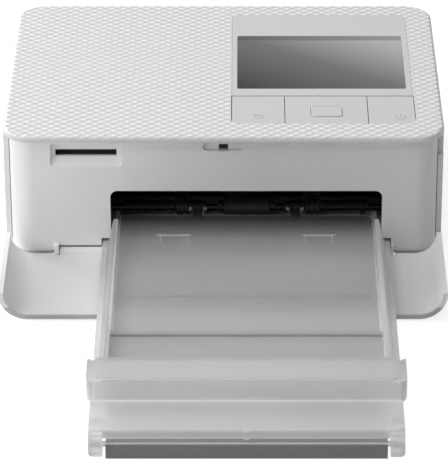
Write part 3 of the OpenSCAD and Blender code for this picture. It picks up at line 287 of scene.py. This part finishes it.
def woven_relief(name, colour):
    """White plastic whose flat top carries a lattice of small raised diamonds, 5.19 mm by 4.22 mm."""
    s = Shader(name)
    s.set(Roughness=0.42, IOR=1.49)
    s.set(Base_Color=(*colour, 1))
    x, y, z = s.axes()
    a = s.math("SUBTRACT", s.math("MULTIPLY", x, RELIEF_X), s.math("MULTIPLY", y, RELIEF_Y))
    b = s.math("ADD", s.math("MULTIPLY", x, RELIEF_X), s.math("MULTIPLY", y, RELIEF_Y))
    lattice = s.math("ADD", s.math("COSINE", a), s.math("COSINE", b))
    peak = s.math("MULTIPLY", s.math("ADD", lattice, 2.0), 0.25)
    height = s.math("POWER", peak, 1.3)
    # The relief fades out on the rounded edge and down the rim's side.
    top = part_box("top_cover")[1][2]
    fade = s.add("ShaderNodeMapRange")
    s.link(z, fade.inputs[0])
    fade.inputs[1].default_value = top - 0.0009
    fade.inputs[2].default_value = top - 0.0001
    height = s.math("MULTIPLY", height, fade.outputs[0])
    s.bump(height, RELIEF_H, 1.0)
    # Painted shade: the hollows between the diamonds are darker
    shade = s.ramp(height, [(0.0, tuple(c * 0.87 for c in colour)), (0.8, colour)])
    # Painted shade down the rounded edge and the rim's side, darker below the top
    level = s.add("ShaderNodeMapRange")
    s.link(z, level.inputs[0])
    level.inputs[1].default_value = top - 0.0012
    level.inputs[2].default_value = top - 0.0003
    level.inputs[3].default_value = 0.86
    level.inputs[4].default_value = 1.0
    s.link(s.scaled(shade, level.outputs[0]), s.bsdf.inputs["Base Color"])
    return s.material


def frosted(name, colour, rough, clear, veil, zones=(), edges=0.5, reach=0.0004, fade=(), plain=None):
    """Translucent frosted plastic: it lets light through and blurs what lies behind.

    Shadow rays pass straight through, dimmed by the veil at each face. Each zone is a box in
    millimetres with a factor of painted light and shade for the colour and one for the clearness.
    Fade is painted shade along Y. Edges carry a painted highlight, except where Y lies in the plain span.
    """
    s = Shader(name)
    s.set(IOR=1.46)
    y = s.axes()[1]
    cloud = s.noise(30, 2)
    dark = tuple(c * 0.97 for c in colour)
    tint = s.ramp(cloud, [(0.35, dark), (0.65, colour)])
    light = None
    # Painted shade along Y
    if fade:
        light = s.drift(1, fade)
    see = s.add("ShaderNodeValue")
    see.outputs[0].default_value = clear
    see = see.outputs[0]
    factor = 1.0
    for box, shade, open_up in zones:
        inside = s.inside(box)
        change = s.math("MULTIPLY_ADD", inside, shade - 1, 1.0)
        factor = s.math("MULTIPLY", change, factor)
        see = s.math("MULTIPLY", see, s.math("MULTIPLY_ADD", inside, open_up - 1, 1.0))
    if zones:
        light = s.math("MULTIPLY", factor, light) if light else factor
    if light:
        tint = s.scaled(tint, light)
    # Painted highlight along edges, where the plastic is also less clear
    if edges:
        rim = s.math("MULTIPLY", s.edge(reach, 8.0), edges)
        if plain:
            off = s.span(y, plain[0] / 1000 + BODY_Y, plain[1] / 1000 + BODY_Y)
            rim = s.math("MULTIPLY", rim, s.math("SUBTRACT", 1.0, off))
        tint = s.mix(rim, tint, (0.97, 0.97, 0.97))
        see = s.math("MULTIPLY", see, s.math("MULTIPLY_ADD", rim, -0.8, 1.0))
    s.link(see, s.bsdf.inputs["Transmission Weight"])
    s.link(tint, s.bsdf.inputs["Base Color"])
    s.link(s.ramp(s.noise(1800, 1), [(0.3, rough - 0.05), (0.7, rough + 0.05)]), s.bsdf.inputs["Roughness"])
    s.bump(s.noise(1500, 2), 0.00004, 0.4)
    path = s.add("ShaderNodeLightPath")
    through = s.add("ShaderNodeBsdfTransparent")
    through.inputs[0].default_value = (veil, veil, veil, 1)
    both = s.add("ShaderNodeMixShader")
    s.link(path.outputs["Is Shadow Ray"], both.inputs[0])
    s.link(s.bsdf.outputs[0], both.inputs[1])
    s.link(through.outputs[0], both.inputs[2])
    s.link(both.outputs[0], s.out.inputs[0])
    return s.material


def dark_moulding(name, colour, rough, edges):
    """Black plastic inside the bay, with a painted highlight along its edges."""
    s = Shader(name)
    s.set(Roughness=rough, IOR=1.45)
    s.set(Specular_IOR_Level=0.14)
    rim = s.edge(0.00025, 8.0)
    s.link(s.mix(rim, colour, edges), s.bsdf.inputs["Base Color"])
    s.bump(s.noise(GRAIN, 2, 0.6), 0.00003, 0.4)
    return s.material


def rubber(name, colour):
    s = Shader(name)
    s.set(IOR=1.5)
    s.set(Specular_IOR_Level=0.25)
    fine = s.noise(1400, 3)
    light = tuple(c * 1.5 for c in colour)
    s.link(s.ramp(fine, [(0.3, colour), (0.75, light)]), s.bsdf.inputs["Base Color"])
    s.link(s.ramp(s.noise(200, 2), [(0.3, 0.5), (0.7, 0.72)]), s.bsdf.inputs["Roughness"])
    s.bump(fine, 0.00005, 0.5)
    return s.material


def screen_glass(name):
    """The dark screen under its gloss window, with a painted reflection in its colour that brightens towards
    the back right.
    """
    s = Shader(name)
    s.set(Roughness=0.08, IOR=1.5)
    s.set(Specular_IOR_Level=0.15)
    x, y, _ = s.axes()
    low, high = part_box("lcd_window")
    u = s.math("DIVIDE", s.math("SUBTRACT", x, low[0]), high[0] - low[0])
    v = s.math("DIVIDE", s.math("SUBTRACT", y, low[1]), high[1] - low[1])
    mix = s.math("ADD", s.math("MULTIPLY", u, 0.5), s.math("MULTIPLY", v, 0.5))
    mix = s.math("ADD", mix, s.math("MULTIPLY", s.math("SUBTRACT", s.noise(12, 1), 0.5), 0.02))
    # Painted reflection: the colour brightens from the front left to the back right
    glow = s.ramp(mix, [(0.0, SCREEN_REFLECTION[0]), (0.5, SCREEN_REFLECTION[1]), (1.0, SCREEN_REFLECTION[2])])
    bar = s.math("GREATER_THAN", v, 0.915)
    node = s.add("ShaderNodeMix", data_type="RGBA")
    s.link(s.math("MULTIPLY", bar, 0.45), node.inputs[0])
    s.link(glow, node.inputs[6])
    node.inputs[7].default_value = (0.02, 0.02, 0.02, 1)
    s.link(node.outputs[2], s.bsdf.inputs["Base Color"])
    return s.material


def board(name, colour):
    s = Shader(name)
    s.set(Roughness=0.35)
    x, y, z = s.axes()
    lines = s.math("SINE", s.math("MULTIPLY", s.math("ADD", y, z), 5200.0))
    tracks = s.math("GREATER_THAN", s.math("ADD", lines, s.noise(300, 1)), 1.1)
    light = tuple(min(1, c * 1.6 + 0.02) for c in colour)
    s.link(s.ramp(tracks, [(0.4, colour), (0.6, light)]), s.bsdf.inputs["Base Color"])
    s.bump(tracks, 0.00003, 0.4)
    return s.material


def fibre(name, colour):
    s = Shader(name)
    s.set(Roughness=0.9)
    fine = s.noise(900, 4, 0.7)
    dark = tuple(c * 0.6 for c in colour)
    s.link(s.ramp(fine, [(0.35, dark), (0.65, colour)]), s.bsdf.inputs["Base Color"])
    s.bump(fine, 0.0001, 0.8)
    return s.material


WHITE = (0.80, 0.80, 0.795)
PANEL = (0.68, 0.68, 0.68)
LOOKS = {
    "white_textured": woven_relief("woven_white", (0.885, 0.885, 0.885)),
    "white_casing": plastic("moulded_white", WHITE, 0.46, mottle=0.012),
    "white_panel": plastic("panel_white", PANEL, 0.4, mottle=0.01, depth=0.00002),
    "screen_gloss": screen_glass("screen_window"),
    "screen_dark": plastic("screen_frame", (0.03, 0.03, 0.032), 0.5),
    "circuit_board": board("solder_mask", (0.01, 0.09, 0.04)),
    "black_plastic": plastic("black_moulding", (0.006, 0.006, 0.006), 0.5, mottle=0.2),
    "black_rubber": rubber("black_rubber", (0.012, 0.012, 0.012)),
    "grey_gear": plastic("acetal", (0.62, 0.62, 0.6), 0.38, mottle=0.03),
    "steel": metal("bright_steel", (0.56, 0.57, 0.58), 0.28),
    "black_steel": metal("blackened_steel", (0.02, 0.02, 0.021), 0.35),
    "brass": metal("turned_brass", (0.75, 0.56, 0.26), 0.3),
    "aluminium": metal("extruded_aluminium", (0.7, 0.71, 0.72), 0.35),
    "ceramic": plastic("glazed_ceramic", (0.7, 0.66, 0.55), 0.2, mottle=0.05),
    "frosted_clear": frosted("frosted_plastic", (0.84, 0.84, 0.84), 0.42, 0.6, 0.7),
    "ink_shell": plastic("ink_shell", (0.035, 0.035, 0.04), 0.4, mottle=0.1),
    "ink_film": plastic("ink_film", (0.05, 0.012, 0.03), 0.25, mottle=0.3),
    "cork": fibre("fibre_pad", (0.35, 0.26, 0.16)),
    "grey_plastic": plastic("light_grey", (0.55, 0.55, 0.55), 0.45, mottle=0.03),
}

record = frame["record"]
node_slot = {p["node"]: p["material_slot"] for p in record["subparts"]}
# Places are in millimetres, Y from the middle of the body, and boxes give X, Y and Z from low to
# high. The lid carries painted shade, darkest where it reaches into the bay, with a band of painted shadow
# near its groove, whose edges carry no painted highlight.
LID_PAINTED_SHADE = (
    (-160, 0.76), (-140, 0.78), (-128, 0.69), (-115, 0.78),
    (-95, 1.0), (-77, 0.94), (-66, 0.6), (-55, 0.19),
)
LID_GROOVE = (-127, -123)
# Painted shade on the shelf, the left rail, the top of the band and the terrace, then painted light on the
# band's front, painted highlights on its two edges and a painted shade line at its lip
COVER_PAINTED_SHADING = (
    ((-44, 63, -183.4, -60, 14, 17.6), 0.71, 1.0),
    ((-60, -44.6, -183.4, -60, 8, 20.1), 0.76, 1.0),
    ((-60, 80, -199.5, -183.4, 20.5, 22.1), 0.91, 1.0),
    ((-60, 80, -219, -199, 10, 12.3), 0.97, 1.0),
    ((-60, 80, -200, -198.9, 12, 22), 1.27, 0.8),
    ((-60, 80, -200, -198.9, 20.9, 21.9), 1.08, 0.7),
    ((-60, 80, -200, -198.9, 11.9, 13), 1.08, 0.7),
    ((-60, 80, -199.3, -198.6, 21.9, 22.1), 0.75, 0.5),
)
# The dark bar on the front of the cassette's base, and painted shade in the slit above it
BASE_ZONES = (
    ((-46, 65, -223, -221.5, 0, 6.7), 0.225, 0.0),
    ((-46, 65, -221, -212, 6.85, 7.2), 0.4, 0.0),
)
# Painted shading across the door, level by level of X: darker halfway between the sides and the cassette
DOOR_PAINTED_SHADING = (
    (-91, 1.0), (-81, 1.0), (-78.6, 0.87), (-75, 0.81), (-70, 0.79), (-66, 0.82), (-61, 0.87),
    (-55, 0.94), (70, 0.84), (74, 1.0), (82, 1.0), (84.5, 0.96), (86.5, 0.9), (90, 1.0),
)
# Painted shade on the door's free edge
DOOR_EDGE_PAINTED_SHADE = (-95, 95, -118, -115.9, -1, 6)
# Painted light on the top strip of the front, just under the rim
FRONT_TOP_PAINTED_LIGHT = (-75, 75, -67, -60, 52.6, 56)
# Painted shade on the rim of the latch recess, darker left of the hook's hole than right of it
LATCH_Z = 51.6
LATCH_LEFT_PAINTED_SHADE = (-9.5, -2.2, -65, -60, LATCH_Z - 2, LATCH_Z + 3.2)
LATCH_RIGHT_PAINTED_SHADE = (-2.2, 7, -65, -60, LATCH_Z - 2, LATCH_Z + 3.2)
# Painted shade: the thin dark line along the back edge of the middle button
low, high = (1000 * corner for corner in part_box("ok_button"))
back_y = high[1] - 1000 * BODY_Y
BUTTON_BACK_PAINTED_SHADE = (low[0] - 1, high[0] + 1, back_y - 0.6, back_y + 1, high[2] - 0.4, high[2] + 1)
OWN_LOOKS = {
    # Painted shading: the front is lighter on the left and darker to the right
    "front_panel": white_with_painted_shading(
        "front_white", 0, -45, 15, (0.87, 0.87, 0.865), (0.72, 0.72, 0.715),
        zones=[(FRONT_TOP_PAINTED_LIGHT, 1.09)], rims=[(LATCH_LEFT_PAINTED_SHADE, 0.6), (LATCH_RIGHT_PAINTED_SHADE, 0.75)],
    ),
    # Painted shading: the door is lighter near the body and darker towards its free edge
    "front_door": white_with_painted_shading(
        "door_white", 1, -118, -70, (0.80, 0.80, 0.795), (0.93, 0.93, 0.925),
        zones=[(DOOR_EDGE_PAINTED_SHADE, 0.6)], across=DOOR_PAINTED_SHADING,
    ),
    "ok_button": white_with_painted_shading(
        "button_white", 0, -90, 90, PANEL, PANEL, 0.4, zones=[(BUTTON_BACK_PAINTED_SHADE, 0.62)],
    ),
    "base_plate": plastic("base_white", (0.6, 0.6, 0.6), 0.5),
    "inner_lid": frosted(
        "frosted_lid", (0.72, 0.72, 0.72), 0.45, 0.8, 0.75,
        edges=0.9, reach=0.0008, fade=LID_PAINTED_SHADE, plain=LID_GROOVE,
    ),
    "outer_cover": frosted("frosted_cover", (0.74, 0.74, 0.74), 0.42, 0.6, 0.7, COVER_PAINTED_SHADING),
    "cassette_base": frosted("frosted_base", (0.78, 0.78, 0.78), 0.42, 0.5, 0.7, BASE_ZONES, edges=0.3),
    "feed_guide": dark_moulding("guide_moulding", (0.004, 0.004, 0.004), 0.5, (0.12, 0.12, 0.12)),
}
for name, obj in nodes.items():
    look = OWN_LOOKS.get(name, LOOKS[node_slot[name]])
    if not obj.data.materials:
        obj.data.materials.append(look)
    for k in range(len(obj.data.materials)):
        obj.data.materials[k] = look


# Icons on the keys


def ribbon(name, points, width, height, z):
    """A thin raised line of constant width that follows points in the plane of the keys."""
    last = len(points) - 1
    mesh = bmesh.new()
    rows = []
    for k, point in enumerate(points):
        before = Vector(points[max(k - 1, 0)])
        after = Vector(points[min(k + 1, last)])
        run = (after - before).normalized()
        side = Vector((-run.y, run.x)) * width / 2
        p = Vector(point)
        row = []
        for q, h in ((p + side, 0), (p + side * 0.8, height), (p - side * 0.8, height), (p - side, 0)):
            row.append(mesh.verts.new(mm(q.x, q.y, z + h)))
        rows.append(row)
    for a, b in zip(rows, rows[1:]):
        for i in range(3):
            mesh.faces.new((a[i], a[i + 1], b[i + 1], b[i]))
        mesh.faces.new((a[3], a[0], b[0], b[3]))
    mesh.faces.new(rows[0][::-1])
    mesh.faces.new(rows[-1])
    bmesh.ops.recalc_face_normals(mesh, faces=mesh.faces)
    return add_object(name, mesh)


def arc(cx, cy, r, a0, a1, steps=24):
    angles = [math.radians(a0 + (a1 - a0) * k / steps) for k in range(steps + 1)]
    return [(cx + r * math.cos(a), cy + r * math.sin(a)) for a in angles]


ICON_WIDTH = 0.35
ICON_HEIGHT = 0.02
print_ink = plastic("key_print", (0.33, 0.33, 0.33), 0.5)
key_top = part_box("menu_key")[1][2] * 1000


def icon(name, body, points):
    """A mark printed on a key: a grey line along the points, which rides on the key's body."""
    piece = ribbon(name, points, ICON_WIDTH, ICON_HEIGHT, key_top)
    piece.data.materials.append(print_ink)
    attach(piece, body)


icon("power_ring", "power_key_body", arc(73.5, -46.6, 2.1, 125, 415))
icon("power_bar", "power_key_body", [(73.5, -43.9), (73.5, -46.3)])
return_bend = arc(15.2, -46.4, 1.3, 90, -90, 10)
icon("return_line", "menu_key_body", [(12.6, -45.1), (15.2, -45.1), *return_bend, (12.8, -47.7)])
icon("return_head", "menu_key_body", [(13.6, -44.0), (12.5, -45.1), (13.6, -46.2)])


# Small tongue in the middle of the cover's front edge


def tongue(name, low, high, body, look):
    """A small block with round edges between two corners in millimetres."""
    mesh = bmesh.new()
    bmesh.ops.create_cube(mesh, size=1.0)
    size = [(b - a) / 1000 for a, b in zip(low, high)]
    middle = mm(*((a + b) / 2 for a, b in zip(low, high)))
    for v in mesh.verts:
        v.co = Vector(c * w for c, w in zip(v.co, size)) + middle
    bmesh.ops.bevel(mesh, geom=mesh.edges[:], offset=0.0003, segments=2, affect="EDGES")
    piece = add_object(name, mesh)
    piece.data.materials.append(look)
    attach(piece, body)


tongue(
    "cover_tongue", (8.3, -221.7, 8.4), (10.5, -220.2, 12.6),
    "outer_cover_body", OWN_LOOKS["outer_cover"],
)


# Stage and light


# Seen by the camera, in reflections and through the frosted plastic, the floor is a glow with a
# diffuse part on top that keeps a faint shadow. Under the lamps the two add up to white.
FLOOR_GLOW = 0.75
FLOOR_SHADE = 0.5
FLOOR_HALF = 8.0
plane = bmesh.new()
bmesh.ops.create_grid(plane, x_segments=1, y_segments=1, size=FLOOR_HALF)
floor = add_object("floor", plane)
floor.location = (0, 0, -0.0002)
s = Shader("pale_floor")
s.set(Roughness=0.9)
s.set(Base_Color=(0.9, 0.9, 0.9, 1))
path = s.add("ShaderNodeLightPath")
seen = s.math("MAXIMUM", path.outputs["Is Camera Ray"], path.outputs["Is Glossy Ray"])
seen = s.math("MAXIMUM", seen, path.outputs["Is Transmission Ray"])
glow = s.add("ShaderNodeEmission")
glow.inputs["Strength"].default_value = FLOOR_GLOW
shade = s.add("ShaderNodeBsdfDiffuse")
shade.inputs[0].default_value = (FLOOR_SHADE, FLOOR_SHADE, FLOOR_SHADE, 1)
both = s.add("ShaderNodeAddShader")
s.link(glow.outputs[0], both.inputs[0])
s.link(shade.outputs[0], both.inputs[1])
mix = s.add("ShaderNodeMixShader")
s.link(seen, mix.inputs[0])
s.link(s.bsdf.outputs[0], mix.inputs[1])
s.link(both.outputs[0], mix.inputs[2])
s.link(mix.outputs[0], s.out.inputs[0])
floor.data.materials.append(s.material)

world = bpy.data.worlds.new("studio")
scene.world = world
world.use_nodes = True
tree = world.node_tree
back = tree.nodes["Background"]
back.inputs[0].default_value = (1, 1, 1, 1)
back.inputs[1].default_value = 0.2
white = tree.nodes.new("ShaderNodeBackground")
white.inputs[0].default_value = (1, 1, 1, 1)
white.inputs[1].default_value = 1.0
path = tree.nodes.new("ShaderNodeLightPath")
mix = tree.nodes.new("ShaderNodeMixShader")
seen = path.outputs["Is Camera Ray"]
for ray in ("Is Glossy Ray", "Is Transmission Ray"):
    either = tree.nodes.new("ShaderNodeMath")
    either.operation = "MAXIMUM"
    tree.links.new(seen, either.inputs[0])
    tree.links.new(path.outputs[ray], either.inputs[1])
    seen = either.outputs[0]
tree.links.new(seen, mix.inputs[0])
tree.links.new(back.outputs[0], mix.inputs[1])
tree.links.new(white.outputs[0], mix.inputs[2])
tree.links.new(mix.outputs[0], tree.nodes["World Output"].inputs[0])


def soft_light(name, place, size, power):
    """A square lamp that looks at the middle of the printer."""
    data = bpy.data.lights.new(name, "AREA")
    data.shape = "RECTANGLE"
    data.size = size
    data.size_y = size
    data.energy = power
    obj = bpy.data.objects.new(name, data)
    obj.location = place
    obj.rotation_euler = (LIGHT_TARGET - Vector(place)).to_track_quat("-Z", "Y").to_euler()
    scene.collection.objects.link(obj)


LIGHT_TARGET = Vector((0, 0, 0.03))
soft_light("left_back", (-0.9, 0.9, 0.9), 0.8, 11.7)
soft_light("left_front", (-0.6, -0.45, 0.3), 0.4, 1.2)
soft_light("left_high", (-0.9, -0.25, 0.6), 0.5, 3.0)
soft_light("top", (0, -0.3, 1.3), 1.0, 4.2)

scene.view_settings.view_transform = "Standard"
scene.view_settings.look = "None"
scene.view_settings.exposure = 0
scene.view_settings.gamma = 1
